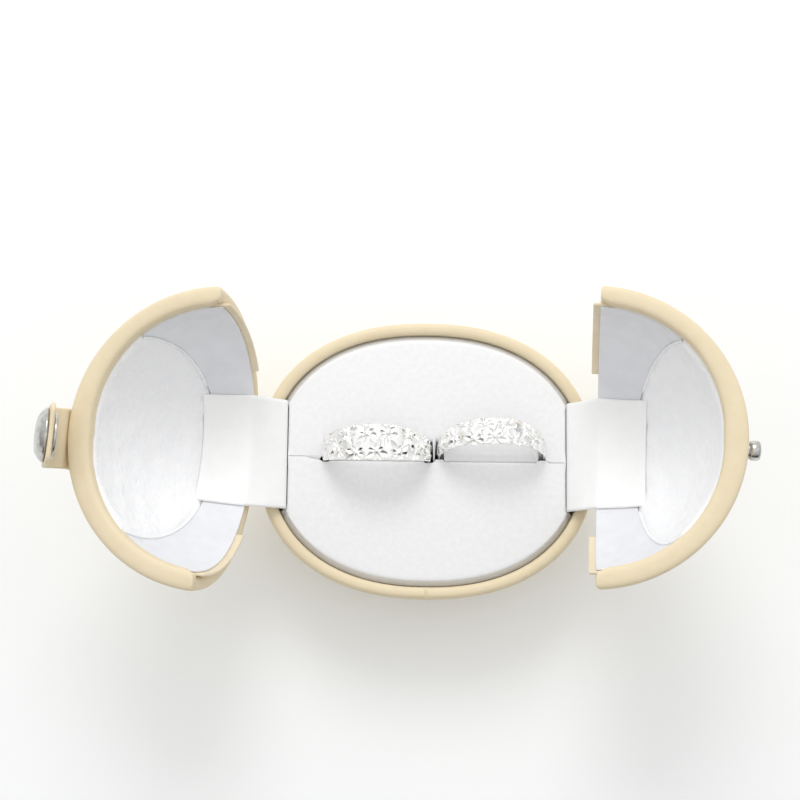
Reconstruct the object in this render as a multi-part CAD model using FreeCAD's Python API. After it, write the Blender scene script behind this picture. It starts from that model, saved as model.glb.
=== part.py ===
import FreeCAD, Part
import math
import os

# Egg-shaped ring box: a flat-footed base bowl and two quarter-dome lids that swing outwards on
# cloth hinges at its two ends. Millimetres, +Z up. X runs between the hinges, Y to the back.
# The origin is the centre of the foot. The body is a superellipse turned about the X axis, and
# every wall is a layer of it: egg(inset) is the body made smaller all over by that inset.

V = FreeCAD.Vector

# Body
HALF_LENGTH = 31.5        # hinge end to centre
HALF_WIDTH = 25.93        # largest radius of the body about its axis
PROFILE_POWER = 2.25      # 2 would be an ellipse
RIM = 21.8                # height of the parting plane between base and lids
AXIS_Z = RIM - 0.8        # the body's own axis lies just under the parting plane
RIM_GAP = 0.1             # base rim lies this far under the parting plane
LID_GAP = 0.15            # lid edges stand this far from the parting plane and from each other
LEATHER = 0.7             # leatherette skin
SKIN_PLAY = 0.05
BASE_WALL = 2.3           # skin and moulded shell together
LID_WALL = 2.4
FOOT_THICK = 1.0
FOOT_RADII = (20.5, 15.2)

# Lids: opening angle and direction of each cloth hinge, slightly askew as glued
LID_OPEN = {-1: 101.7, 1: 83.3}
HINGE_YAW = {-1: 2.2, 1: -1.0}
HINGE_TILT = {-1: 1.4, 1: -2.5}

# Lid insides
LIP = (2.55, 3.15)        # inset of the lip that nests inside the base rim
LIP_DROP = 1.1            # it reaches this far under the parting plane
LIP_TOP = 2.6
LIP_END = 23.0            # distance of its hinge end from the centre
LIP_START = 2.25          # the lips and linings start behind the meeting rim
MEETING_RIM = (2.45, 4.4)
MEETING_RIM_CORNER = 3.4  # its inset is less at the corners
CORNER_HEIGHT = 1.3
LINING = (2.5, 3.5)
LINING_THIN = 3.2
DOME_PAD = (2.5, 4.0)
SEAM_HEIGHT = 14.8        # lining and dome pad meet on a plane, highest at the centre
SEAM_SLOPE = 0.29

# Ribbons and outer hinge tapes
RIBBON_WIDTH = 20.3
RIBBON_SHIFT = 0.7        # ribbons lie slightly to the back
RIBBON_THICK = 0.4
RIBBON_INSET = 3.62
RIBBON_TAIL_X = 26.1
RIBBON_TAIL_DEPTH = 6.0
RIBBON_TOP = 9.0
RIBBON_RECESS = 0.12        # room around the ribbon's end in the dome pad
TAPE_WIDTH = 16.0
TAPE = (-0.5, -0.12)
TAPE_REACH = 6.5

# Cushion and the tray under it
CUSHION_INSET = 2.95
CUSHION_RIM_INSET = 3.5   # drawn in beside the lids' lips
CUSHION_END = 25.9
CUSHION_TOP = RIM - 0.3
CUSHION_STEP = RIM - 1.5
TRAY_TOP = RIM - 13.2
TRAY_THICK = 1.2
TRAY_SKIRT = (17.0, 12.0)
SLOT_Y = -0.1
SLOT_GAP = 0.4

# Rings: centre x, centre y, lean to the back, crown width, width at the sides, pocket width
RING_RADIUS = 10.3
RING_BORE = 8.9
RING_DROP = 0.6           # ring centre under the parting plane
RING_SHANK_NARROWING = 0.6
RINGS = {
    "left": (-9.4, 1.45, 4.7, 6.7, 3.7, 5.0),
    "right": (12.05, 1.9, 16.5, 5.2, 3.2, 4.6),
}
POCKET_CLEARANCE = 0.3
POCKET_HEIGHT = 16.0

# Snap fastener: strap on the left lid, stud on the right lid
STRAP_WIDTH = 10.4
STRAP_Y = -1.6
STRAP_THICK = 0.8
STRAP_ROOT = (-0.3, 0.15)   # x and height over the crown where it starts to bend
STRAP_KNEE = (1.9, 2.15)
STRAP_DROOP = 27.0
STRAP_FLAT = 9.8
STRAP_CORNER = 1.6
STRAP_ANCHOR = (-9.0, -1.35)  # x of its two ends: the free end needs room to flex
CAP_RADIUS = 4.6
CAP_HEIGHT = 1.85
CAP_WALL = 0.35
CAP_EDGE = 0.35             # height of its upright edge
CAP_Y = -2.1
CAP_ALONG = 4.95            # distance of the cap's centre from the knee
SNAP_HOLE = 2.75
SOCKET_RADIUS = 3.9
SOCKET_HEIGHT = 0.75
STUD_X = 7.0
STUD_Y = -1.15
STUD_RADIUS = 1.73
STUD_NECK = 1.4
STUD_TOP = 2.6
STUD_HEAD = 2.1
STUD_ROUNDING = 0.75
STUD_FLANGE = 2.4
STUD_FLANGE_THICK = 0.35
POST_RADIUS = 0.8
POST_REACH = 1.2            # height of the rivet's end inside the stud
POST_HEAD = 2.0

FAR = 60.0                  # larger than the box


def box(x0, x1, y0, y1, z0, z1):
    return Part.makeBox(x1 - x0, y1 - y0, z1 - z0, V(x0, y0, z0))


def egg(inset, half=0):
    """The body, smaller all over by inset: the whole, or its half over (1) or under (-1) its axis."""
    a = HALF_LENGTH - inset
    r = HALF_WIDTH - inset
    points = []
    steps = 24
    for i in range(steps + 1):
        angle = math.pi * i / steps
        cx = abs(math.cos(angle)) / a
        cr = math.sin(angle) / r
        reach = (cx ** PROFILE_POWER + max(cr, 0.0) ** PROFILE_POWER) ** (-1 / PROFILE_POWER)
        points.append(V(reach * math.cos(angle), 0, reach * math.sin(angle)))
    points[0] = V(a, 0, 0)
    points[-1] = V(-a, 0, 0)
    curve = Part.BSplineCurve()
    curve.interpolate(Points=points, InitialTangent=V(0, 0, 1), FinalTangent=V(0, 0, -1))
    wire = Part.Wire([curve.toShape(), Part.makeLine(V(-a, 0, 0), V(a, 0, 0))])
    wire.rotate(V(0, 0, 0), V(1, 0, 0), -90 * half)
    solid = Part.Face(wire).revolve(V(0, 0, 0), V(1, 0, 0), 180 if half else 360)
    solid.translate(V(0, 0, AXIS_Z))
    return solid


def layer(outer, inner, half=0):
    """The wall between two insets."""
    return egg(outer, half).cut(egg(inner, half))


def bowl(inset, half, margin=0.0):
    """One half of the base's form inside its wall, between a flat floor and a plane under the rim."""
    top = RIM - RIM_GAP - margin
    return egg(inset, half).common(box(-FAR, FAR, -FAR, FAR, FOOT_THICK + inset, top))


def across_ends(build):
    """Joins the halves over and under the axis of a piece that closes over the body's two ends."""
    return build(-1).fuse(build(1))


def lid_box(side, x_gap, z_low, z_high=FAR, x_far=FAR):
    """The part of space over the rim on one side of the parting plane, lids closed."""
    x = sorted((side * x_gap, side * x_far))
    return box(x[0], x[1], -FAR, FAR, RIM + z_low, RIM + z_high)


def under_seam(side):
    """Prism under the plane where side lining and dome pad meet."""
    low = -5.0
    far_height = SEAM_HEIGHT - SEAM_SLOPE * FAR
    corners = [(0, low), (0, SEAM_HEIGHT), (FAR, far_height), (FAR, low - FAR), (0, low - FAR)]
    points = [V(side * x, -FAR, RIM + z) for x, z in corners]
    points.append(points[0])
    return Part.Face(Part.makePolygon(points)).extrude(V(0, 2 * FAR, 0))


def hinge_point(side):
    return V(side * HALF_LENGTH, 0, RIM)


def hinge_axis(side):
    yaw = math.radians(HINGE_YAW[side])
    tilt = math.radians(HINGE_TILT[side])
    return V(math.sin(yaw), math.cos(yaw) * math.cos(tilt), math.sin(tilt))


def opened(shape, side):
    """Swings a piece made on the closed lid to where it rests with the box open."""
    shape = shape.copy()
    shape.rotate(hinge_point(side), hinge_axis(side), side * LID_OPEN[side])
    return shape


def opened_point(point, side):
    return opened(Part.Vertex(point), side).Point


def cylinder(radius, height, centre, direction=V(0, 0, 1)):
    return Part.makeCylinder(radius, height, centre, direction)


def ellipse_plate(radii, z0, z1):
    rim = Part.Ellipse(V(0, 0, z0), radii[0], radii[1]).toShape()
    return Part.Face(Part.Wire(rim)).extrude(V(0, 0, z1 - z0))


# ---------------------------------------------------------------- base

def base_cover():
    """Leatherette skin, folded over the rim to the inside of the wall."""
    def skin(half):
        return bowl(0, half).cut(bowl(BASE_WALL, half)).cut(bowl(LEATHER, half, LEATHER))
    return across_ends(skin)


def base_shell():
    """Moulded bowl inside the skin."""
    outer = LEATHER + SKIN_PLAY
    return across_ends(lambda half: bowl(outer, half, outer).cut(bowl(BASE_WALL, half)))


def tray():
    plate = egg(BASE_WALL + 0.3).common(box(-FAR, FAR, -FAR, FAR, TRAY_TOP - TRAY_THICK, TRAY_TOP))
    floor = FOOT_THICK + BASE_WALL
    skirt = ellipse_plate(TRAY_SKIRT, floor, TRAY_TOP - TRAY_THICK)
    hollow = ellipse_plate([r - TRAY_THICK for r in TRAY_SKIRT], floor, TRAY_TOP - TRAY_THICK)
    return plate.fuse(skirt.cut(hollow))


def ring_frame(name):
    """Centre of a ring and its axis."""
    x, y, lean = RINGS[name][:3]
    angle = math.radians(lean)
    return V(x, y, RIM - RING_DROP), V(0, math.cos(angle), -math.sin(angle))


def ring_pocket(name):
    """The room that a ring needs in the cushion, from its seat up along its lean."""
    centre, axis = ring_frame(name)
    width = RINGS[name][5]
    radius = RING_RADIUS + POCKET_CLEARANCE
    seat = cylinder(radius, width, centre - axis * (width / 2), axis)
    shaft = box(-radius, radius, -width / 2, width / 2, 0, POCKET_HEIGHT)
    shaft.rotate(V(0, 0, 0), V(1, 0, 0), -RINGS[name][2])
    shaft.translate(centre)
    return seat.fuse(shaft)


def cushion(side):
    """One foam half: side 1 is the back, -1 the front."""
    edge = SLOT_Y + side * SLOT_GAP / 2
    y = sorted((edge, side * FAR))
    half = box(-CUSHION_END, CUSHION_END, y[0], y[1], TRAY_TOP + 0.05, CUSHION_TOP)
    low = half.common(egg(CUSHION_INSET)).common(box(-FAR, FAR, -FAR, FAR, 0, CUSHION_STEP))
    top = half.common(egg(CUSHION_RIM_INSET)).common(box(-FAR, FAR, -FAR, FAR, CUSHION_STEP, RIM))
    block = low.fuse(top)
    for name in RINGS:
        block = block.cut(ring_pocket(name))
    return block


def ring(name):
    """A band that is widest at its crown and narrows down its sides."""
    crown_width, side_width = RINGS[name][3:5]
    at_crown = crown_width / 2
    at_side = side_width / 2
    at_foot = at_side - RING_SHANK_NARROWING / 2
    end = V(0, -at_crown, 0)
    band = cylinder(RING_RADIUS, crown_width, end, V(0, 1, 0))
    band = band.cut(cylinder(RING_BORE, crown_width, end, V(0, 1, 0)))
    top = RING_RADIUS + 0.1
    front = Part.Arc(V(-top, -at_crown, top), V(-top, -at_side, 0), V(-top, -at_foot, -top)).toShape()
    back = Part.Arc(V(-top, at_foot, -top), V(-top, at_side, 0), V(-top, at_crown, top)).toShape()
    under = Part.makeLine(V(-top, -at_foot, -top), V(-top, at_foot, -top))
    over = Part.makeLine(V(-top, at_crown, top), V(-top, -at_crown, top))
    outline = Part.Face(Part.Wire([front, under, back, over])).extrude(V(2 * top, 0, 0))
    band = band.common(outline)
    band.rotate(V(0, 0, 0), V(1, 0, 0), -RINGS[name][2])
    band.translate(ring_frame(name)[0])
    return band


# ---------------------------------------------------------------- lids

def lid_cover(side):
    wall = layer(0, LID_WALL).common(lid_box(side, LID_GAP, LID_GAP))
    edge = LID_GAP + LEATHER
    cover = wall.cut(egg(LEATHER).common(lid_box(side, edge, edge)))
    if side > 0:
        cover = cover.cut(stud_hole())
        cover = cover.cut(stud_bed())
    return opened(cover, side)


def lid_shell(side):
    edge = LID_GAP + LEATHER + SKIN_PLAY
    shell = layer(LEATHER + SKIN_PLAY, LID_WALL).common(lid_box(side, edge, edge))
    if side > 0:
        shell = shell.cut(stud_hole())
        shell = shell.cut(cylinder(POST_HEAD + 0.1, 2, V(STUD_X, STUD_Y, crown(STUD_X) - LID_WALL - 1.3)))
    return opened(shell, side)


def lid_lip(side, edge):
    """Lip along one long edge of a lid: edge 1 is the back, -1 the front."""
    band = layer(*LIP).common(lid_box(side, LIP_START, -LIP_DROP, LIP_TOP, LIP_END))
    y = sorted((0, edge * FAR))
    return opened(band.common(box(-FAR, FAR, y[0], y[1], 0, FAR)), side)


def meeting_rim(side):
    low = layer(MEETING_RIM[0], MEETING_RIM_CORNER)
    high = layer(*MEETING_RIM)
    low = low.common(lid_box(side, LID_GAP, LID_GAP, CORNER_HEIGHT, LIP_START - 0.05))
    high = high.common(lid_box(side, LID_GAP, CORNER_HEIGHT, FAR, LIP_START - 0.05))
    return opened(low.fuse(high), side)


def side_lining(side):
    """Satin-covered card between the lid's edge and the dome pad, thin behind the lips."""
    high = layer(*LINING).common(lid_box(side, LIP_START, LIP_TOP + 0.1))
    low = layer(LINING_THIN, LINING[1]).common(lid_box(side, LIP_START, LID_GAP, LIP_TOP + 0.1))
    return opened(high.fuse(low).common(under_seam(side)), side)


def dome_pad(side):
    pad = layer(*DOME_PAD).common(lid_box(side, LIP_START, 2.0))
    seam = under_seam(side)
    seam.translate(V(0, 0, 0.1))
    pad = pad.cut(seam).cut(ribbon_recess(side))
    return opened(pad, side)


def ribbon_recess(side):
    """The shallow bed in the dome pad that the ribbon's end is glued into."""
    room = layer(RIBBON_INSET - RIBBON_RECESS, DOME_PAD[1] + 1)
    y0, y1 = [RIBBON_SHIFT + end * (RIBBON_WIDTH / 2 + RIBBON_RECESS) for end in (-1, 1)]
    x = sorted((side * 15, side * FAR))
    return room.common(box(x[0], x[1], y0, y1, RIM, RIM + RIBBON_TOP + RIBBON_RECESS))


# ---------------------------------------------------------------- ribbons and hinge tapes

def ribbon_edge(side):
    """Points across the ribbon where it crosses the edge of the open lid."""
    inset = RIBBON_INSET + RIBBON_THICK / 2
    a = HALF_LENGTH - inset
    r = HALF_WIDTH - inset
    height = LID_GAP + 0.2
    points = []
    for i in range(7):
        y = RIBBON_SHIFT + RIBBON_WIDTH * (i / 6 - 0.5)
        rho = math.hypot(y, RIM + height - AXIS_Z)
        x = a * (1 - (rho / r) ** PROFILE_POWER) ** (1 / PROFILE_POWER)
        points.append(opened_point(V(side * x, y, RIM + height), side))
    return points


def hinge_ribbon(side):
    """Cloth ribbon from beside the cushion, over the rims, up into the lid."""
    y0 = RIBBON_SHIFT - RIBBON_WIDTH / 2
    y1 = RIBBON_SHIFT + RIBBON_WIDTH / 2
    on_lid = layer(RIBBON_INSET, RIBBON_INSET + RIBBON_THICK)
    x = sorted((side * 15, side * FAR))
    on_lid = opened(on_lid.common(box(x[0], x[1], y0, y1, RIM + LID_GAP + 0.15, RIM + RIBBON_TOP)), side)
    x = sorted((side * RIBBON_TAIL_X, side * (RIBBON_TAIL_X + RIBBON_THICK)))
    tail = box(x[0], x[1], y0, y1, RIM - RIBBON_TAIL_DEPTH, RIM + 0.4)
    edge = Part.BSplineCurve()
    edge.interpolate(ribbon_edge(side))
    start_x = side * (RIBBON_TAIL_X + RIBBON_THICK / 2)
    start = Part.makeLine(V(start_x, y0, RIM + 0.1), V(start_x, y1, RIM + 0.1))
    bridge = Part.makeRuledSurface(start, edge.toShape()).extrude(V(0, 0, RIBBON_THICK))
    return on_lid.fuse([bridge, tail])


def hinge_tape(side):
    """Leatherette tape glued across the outside of the hinge."""
    x = sorted((side * 15, side * FAR))
    y = TAPE_WIDTH / 2
    base_end = box(x[0], x[1], -y, y, RIM - TAPE_REACH, RIM - 0.5)
    lid_end = box(x[0], x[1], -y, y, RIM + 0.3, RIM + TAPE_REACH)
    on_base = across_ends(lambda half: layer(*TAPE, half).common(base_end))
    return on_base.fuse(opened(layer(*TAPE).common(lid_end), side))


# ---------------------------------------------------------------- snap fastener

def crown(x):
    """Height of the lid's highest line over a point on the box's long axis, lids closed."""
    share = 1 - (abs(x) / HALF_LENGTH) ** PROFILE_POWER
    return AXIS_Z + HALF_WIDTH * share ** (1 / PROFILE_POWER)


def strap_frame():
    """Knee of the strap, its direction beyond the knee, and its outward normal."""
    angle = math.radians(STRAP_DROOP)
    along = V(math.cos(angle), 0, -math.sin(angle))
    normal = V(math.sin(angle), 0, math.cos(angle))
    return V(STRAP_KNEE[0], 0, crown(0) + STRAP_KNEE[1]), along, normal


def cap_seat():
    """Centre of the snap on the strap's outer face."""
    knee, along, normal = strap_frame()
    return knee + along * CAP_ALONG + normal * STRAP_THICK + V(0, CAP_Y, 0)


def strap_anchor():
    """The strap's glued end, which follows the crown of the left lid."""
    half = STRAP_WIDTH / 2
    wall = layer(-STRAP_THICK - 0.1, -0.1)
    y0 = STRAP_Y - half
    end = box(*STRAP_ANCHOR, y0, y0 + STRAP_WIDTH, RIM + 5, RIM + FAR)
    return opened(wall.common(end), -1)


def snap_strap():
    """The strap's free end: up from the crown, over a knee, and down across the stud."""
    knee, along, normal = strap_frame()
    root = V(STRAP_ROOT[0], 0, crown(0) + STRAP_ROOT[1])
    rise = (knee - root).normalize()
    rise_normal = V(-rise.z, 0, rise.x)
    tip = knee + along * STRAP_FLAT
    outline = [root, knee, tip, tip + normal * STRAP_THICK]
    outline += [knee + (normal + rise_normal) * (STRAP_THICK / 2), root + rise_normal * STRAP_THICK, root]
    half = STRAP_WIDTH / 2
    strip = Part.Face(Part.makePolygon(outline)).extrude(V(0, STRAP_WIDTH, 0))
    strip.translate(V(0, CAP_Y - half, 0))
    strip = strip.cut(snap_bore())
    corners = [e for e in strip.Edges if abs(e.Length - STRAP_THICK) < 0.01
               and e.CenterOfMass.x > STRAP_FLAT and abs(e.tangentAt(e.FirstParameter).dot(normal)) > 0.99]
    strip = strip.makeFillet(STRAP_CORNER, corners)
    return opened(strip, -1)


def snap_bore():
    normal = strap_frame()[2]
    return cylinder(SNAP_HOLE, 6, cap_seat() - normal * 5, normal)


def snap_cap():
    """Hollow domed cap on the strap's outer face."""
    normal = strap_frame()[2]
    seat = cap_seat()
    rise = CAP_HEIGHT - CAP_EDGE
    dome_radius = (CAP_RADIUS ** 2 + rise ** 2) / (2 * rise)
    dome_centre = seat + normal * (CAP_HEIGHT - dome_radius)
    disc = cylinder(CAP_RADIUS, CAP_HEIGHT, seat, normal)
    disc = disc.common(Part.makeSphere(dome_radius, dome_centre))
    hollow = cylinder(SNAP_HOLE + 0.2, CAP_HEIGHT, seat, normal)
    hollow = hollow.common(Part.makeSphere(dome_radius - CAP_WALL, dome_centre))
    return opened(disc.cut(hollow), -1)


def snap_socket():
    """Ring on the strap's inner face that takes the stud."""
    normal = strap_frame()[2]
    foot = cap_seat() - normal * (STRAP_THICK + SOCKET_HEIGHT)
    ring_solid = cylinder(SOCKET_RADIUS, SOCKET_HEIGHT, foot, normal)
    return opened(ring_solid.cut(cylinder(SNAP_HOLE, SOCKET_HEIGHT, foot, normal)), -1)


def stud_hole():
    return cylinder(POST_RADIUS + 0.1, 8, V(STUD_X, STUD_Y, crown(STUD_X) - 5))


def stud_bed():
    """The flat that the stud's flange presses into the leather."""
    return cylinder(STUD_FLANGE + 0.1, 3, V(STUD_X, STUD_Y, crown(STUD_X) - 0.02))


def snap_stud():
    """Round-headed stud standing on the right lid."""
    base = crown(STUD_X) + 0.05
    top = crown(0) + STUD_TOP
    head = cylinder(STUD_RADIUS, STUD_HEAD, V(STUD_X, STUD_Y, top - STUD_HEAD))
    head = head.makeFillet(STUD_ROUNDING, head.Edges)
    neck = cylinder(STUD_NECK, top - STUD_HEAD / 2 - base, V(STUD_X, STUD_Y, base))
    flange = cylinder(STUD_FLANGE, STUD_FLANGE_THICK, V(STUD_X, STUD_Y, base))
    post_hole = cylinder(POST_RADIUS, POST_REACH, V(STUD_X, STUD_Y, base))
    return opened(flange.fuse([neck, head]).cut(post_hole), 1)


def stud_post():
    """Rivet that holds the stud from inside the lid's wall."""
    head_z = crown(STUD_X) - LID_WALL + 0.1
    shank = cylinder(POST_RADIUS, crown(STUD_X) + POST_REACH - head_z, V(STUD_X, STUD_Y, head_z))
    head = cylinder(POST_HEAD, 0.5, V(STUD_X, STUD_Y, head_z))
    return opened(shank.fuse(head), 1)


# ---------------------------------------------------------------- write one file per piece

def pieces():
    made = {
        "foot_pad": ellipse_plate(FOOT_RADII, 0, FOOT_THICK),
        "base_cover": base_cover(),
        "base_shell": base_shell(),
        "cushion_tray": tray(),
        "cushion_front": cushion(-1),
        "cushion_back": cushion(1),
        "ring_left": ring("left"),
        "ring_right": ring("right"),
        "snap_strap_anchor": strap_anchor(),
        "snap_strap": snap_strap(),
        "snap_cap": snap_cap(),
        "snap_socket": snap_socket(),
        "snap_stud": snap_stud(),
        "snap_stud_post": stud_post(),
    }
    for side, word in ((-1, "left"), (1, "right")):
        made["lid_cover_" + word] = lid_cover(side)
        made["lid_shell_" + word] = lid_shell(side)
        made["lid_lip_front_" + word] = lid_lip(side, -1)
        made["lid_lip_back_" + word] = lid_lip(side, 1)
        made["meeting_rim_" + word] = meeting_rim(side)
        made["side_lining_" + word] = side_lining(side)
        made["dome_pad_" + word] = dome_pad(side)
        made["hinge_ribbon_" + word] = hinge_ribbon(side)
        made["hinge_tape_" + word] = hinge_tape(side)
    return made


os.makedirs("parts", exist_ok=True)
for node, shape in pieces().items():
    print(f"{node:22s} solids {len(shape.Solids)} valid {shape.isValid()} volume {shape.Volume:9.2f}")
    shape.exportStep("parts/" + node + ".step")
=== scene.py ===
import math
from collections import namedtuple
import bmesh
import bpy
import numpy as np
from mathutils import Matrix, Vector, noise


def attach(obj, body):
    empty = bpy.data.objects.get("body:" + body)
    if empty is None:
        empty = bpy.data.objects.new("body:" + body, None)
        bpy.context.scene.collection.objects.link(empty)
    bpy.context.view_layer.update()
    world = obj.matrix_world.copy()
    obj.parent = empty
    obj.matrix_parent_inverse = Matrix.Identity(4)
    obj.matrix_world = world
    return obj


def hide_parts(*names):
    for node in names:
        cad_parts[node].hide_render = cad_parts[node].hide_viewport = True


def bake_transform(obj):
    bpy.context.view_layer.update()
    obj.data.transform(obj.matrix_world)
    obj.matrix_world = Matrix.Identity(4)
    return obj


# Egg-shaped ring box, open. Lengths here are millimetres and become metres in add_mesh().
# Lid pieces are made on the closed lid and then swung open about their cloth hinges.

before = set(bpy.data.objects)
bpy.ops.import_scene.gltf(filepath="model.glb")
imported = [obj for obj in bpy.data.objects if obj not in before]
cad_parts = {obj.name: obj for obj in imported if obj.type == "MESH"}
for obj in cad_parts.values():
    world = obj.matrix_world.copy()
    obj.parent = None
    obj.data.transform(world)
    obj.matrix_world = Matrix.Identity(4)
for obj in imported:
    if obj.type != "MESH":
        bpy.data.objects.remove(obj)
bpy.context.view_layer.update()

MM = 0.001
HALF_LENGTH = 31.5
HALF_WIDTH = 25.93
POWER = 2.25
RIM = 21.8
AXIS_Z = RIM - 0.8
RIM_TOP = RIM - 0.1
LID_GAP = 0.15
BASE_WALL = 2.3
LID_WALL = 2.4
LEATHER = 0.7
FOOT_THICK = 1.0
LID_OPEN = {-1: 101.7, 1: 83.3}
HINGE_YAW = {-1: 2.2, 1: -1.0}
HINGE_TILT = {-1: 1.4, 1: -2.5}
WORDS = {-1: "left", 1: "right"}
MEETING_WIDTH = 2.16
MEETING_WALL = 1.6
LINING_START = 2.25
SEAM_HEIGHT = 14.8
SEAM_SLOPE = 0.29
SEAM_SLANT = 1.04
PAD_ABOVE_SEAM = 0.1
PAD_INSET = 2.52
RIBBON_WIDTH = 20.3
RIBBON_Y = 0.7
RIBBON_END = 8.9
RIBBON_START = 0.35
RIBBON_INSET = 3.82
RIBBON_THICK = 0.3
RIBBON_TAIL = 6
RIBBON_TAIL_X = 26.3
TAPE_WIDTH = 16
TAPE_INSET = -0.31
TAPE_THICK = 0.38
TAPE_REACH = 6.5
Ring = namedtuple("Ring", "x y lean crown_width side_width")    # lean in degrees
RINGS = {"left": Ring(-9.4, 1.45, 4.7, 6.7, 3.7), "right": Ring(12.05, 1.9, 16.5, 5.2, 3.2)}
RING_RADIUS = 10.3
RING_BORE = 8.9
RING_Z = RIM - 0.6


# ---------------------------------------------------------------- the body's form

def radius_at(x, inset):
    """The body's radius about its axis at x, inside the inset."""
    share = np.clip(1 - (np.abs(x) / (HALF_LENGTH - inset)) ** POWER, 0, 1)
    return (HALF_WIDTH - inset) * share ** (1 / POWER)


def end_at(height, inset):
    """The x where the body's radius is down to that height over its axis."""
    share = np.clip(1 - (height / (HALF_WIDTH - inset)) ** POWER, 0, 1)
    return (HALF_LENGTH - inset) * share ** (1 / POWER)


def body_form(x, over, inset):
    """Under 1 inside the body at x and that distance from its axis, over 1 outside."""
    return (np.abs(x) / (HALF_LENGTH - inset)) ** POWER + (over / (HALF_WIDTH - inset)) ** POWER


def reach(origin, direction, inset):
    """How far a ray from origin goes before it meets the body inside the inset."""
    low = np.zeros(direction.shape[:-1])
    high = low + 80.0
    for _ in range(44):
        middle = (low + high) / 2
        p = origin + direction * middle[..., None]
        over = np.hypot(p[..., 1], p[..., 2] - AXIS_Z)
        form = body_form(p[..., 0], over, inset)
        low, high = np.where(form < 1, middle, low), np.where(form < 1, high, middle)
    return low


def swing(side):
    """The rigid motion that opens a lid."""
    yaw, tilt = math.radians(HINGE_YAW[side]), math.radians(HINGE_TILT[side])
    axis = Vector((math.sin(yaw), math.cos(yaw) * math.cos(tilt), math.sin(tilt)))
    pivot = Vector((side * HALF_LENGTH, 0, RIM))
    turn = Matrix.Rotation(side * math.radians(LID_OPEN[side]), 4, axis)
    return Matrix.Translation(pivot) @ turn @ Matrix.Translation(-pivot)


def opened(points, side):
    m = np.array(swing(side))
    return points @ m[:3, :3].T + m[:3, 3]


def on_side(points, side):
    """Points of the right lid, closed, put on the lid of that side and swung open."""
    return opened(points * np.array([side, 1.0, 1.0]), side)


def eased(count):
    """Numbers from 0 to 1, closer together at both ends."""
    return 0.5 - 0.5 * np.cos(np.linspace(0, math.pi, count))


# ---------------------------------------------------------------- mesh helpers

def add_mesh(name, points, faces, finish):
    """A smooth-shaded object from points in millimetres, with doubled points joined."""
    mesh = bpy.data.meshes.new(name)
    mesh.from_pydata((np.asarray(points, float).reshape(-1, 3) * MM).tolist(), [], faces)
    made = bmesh.new()
    made.from_mesh(mesh)
    bmesh.ops.remove_doubles(made, verts=made.verts, dist=2e-6)
    bmesh.ops.dissolve_degenerate(made, edges=made.edges, dist=1e-6)
    bmesh.ops.recalc_face_normals(made, faces=made.faces)
    for face in made.faces:
        face.smooth = True
    made.to_mesh(mesh)
    made.free()
    mesh.materials.append(finish)
    piece = bpy.data.objects.new(name, mesh)
    bpy.context.scene.collection.objects.link(piece)
    return piece


def grid_faces(rows, columns, start=0, flip=False):
    """Quads of a rows by columns grid of points that starts at that index."""
    i, j = np.meshgrid(np.arange(rows - 1), np.arange(columns - 1), indexing="ij")
    a = start + i * columns + j
    quads = np.stack([a, a + 1, a + columns + 1, a + columns], -1).reshape(-1, 4)
    return (quads[:, ::-1] if flip else quads).tolist()


def strip_faces(ring_a, ring_b):
    """Quads between two closed rings of point indices."""
    count = len(ring_a)
    return [[ring_a[k], ring_a[(k + 1) % count], ring_b[(k + 1) % count], ring_b[k]] for k in range(count)]


def tube_faces(rings, count):
    """Quads of a run of closed rings, each of that many points."""
    faces = []
    for k in range(rings - 1):
        near, far = range(k * count, (k + 1) * count), range((k + 1) * count, (k + 2) * count)
        faces += strip_faces(list(near), list(far))
    return faces


def border(rows, columns):
    """(i, j) of the edge of a grid, once round."""
    out = [(i, 0) for i in range(rows - 1)] + [(rows - 1, j) for j in range(columns - 1)]
    back = [(i, columns - 1) for i in range(rows - 1, 0, -1)] + [(0, j) for j in range(columns - 1, 0, -1)]
    return out + back


def panel(place, u, v, depths, outward, roll):
    """Points and faces of a closed slab with a rolled edge. place(w, margin, u, v) gives the points of
    one skin, w from 0 outside to 1 inside. outward(w) is how far the edge stands out, up to 1."""
    uu, vv = np.meshgrid(u, v, indexing="ij")
    rows, columns = uu.shape
    way = border(rows, columns)
    edge_u = np.array([[u[i] for i, j in way]])
    edge_v = np.array([[v[j] for i, j in way]])
    points = [place(0.0, roll, uu, vv).reshape(-1, 3), place(1.0, roll, uu, vv).reshape(-1, 3)]
    count = rows * columns
    faces = grid_faces(rows, columns) + grid_faces(rows, columns, count, True)
    previous = [i * columns + j for i, j in way]
    start = 2 * count
    for w in depths:
        points.append(place(w, roll * (1 - outward(w)), edge_u, edge_v).reshape(-1, 3))
        ring = list(range(start, start + len(way)))
        faces += strip_faces(previous, ring)
        previous, start = ring, start + len(way)
    faces += strip_faces(previous, [count + i * columns + j for i, j in way])
    return np.concatenate(points), faces


def round_edge(w):
    """Profile of a soft rolled edge across its thickness."""
    return (1 - abs(2 * w - 1) ** 2.6) ** 0.55


def slab(rows, half):
    """A closed sheet from a grid of points along its middle and its half thickness at each."""
    normal = np.cross(np.gradient(rows, axis=0), np.gradient(rows, axis=1))
    normal /= np.linalg.norm(normal, axis=-1, keepdims=True)
    count, columns = rows.shape[:2]
    points = np.concatenate([(rows + normal * half).reshape(-1, 3), (rows - normal * half).reshape(-1, 3)])
    way = [i * columns + j for i, j in border(count, columns)]
    size = count * columns
    faces = grid_faces(count, columns) + grid_faces(count, columns, size, True)
    return points, faces + strip_faces(way, [k + size for k in way])


def thicken(rows, thickness):
    """A closed sheet, thinner at its very edge."""
    ends = [np.array([0.0] + [1.0] * (count - 2) + [0.0]) for count in rows.shape[:2]]
    inner = ends[0][:, None] * ends[1]
    return slab(rows, thickness / 2 * (0.55 + 0.45 * inner)[..., None])


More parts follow.
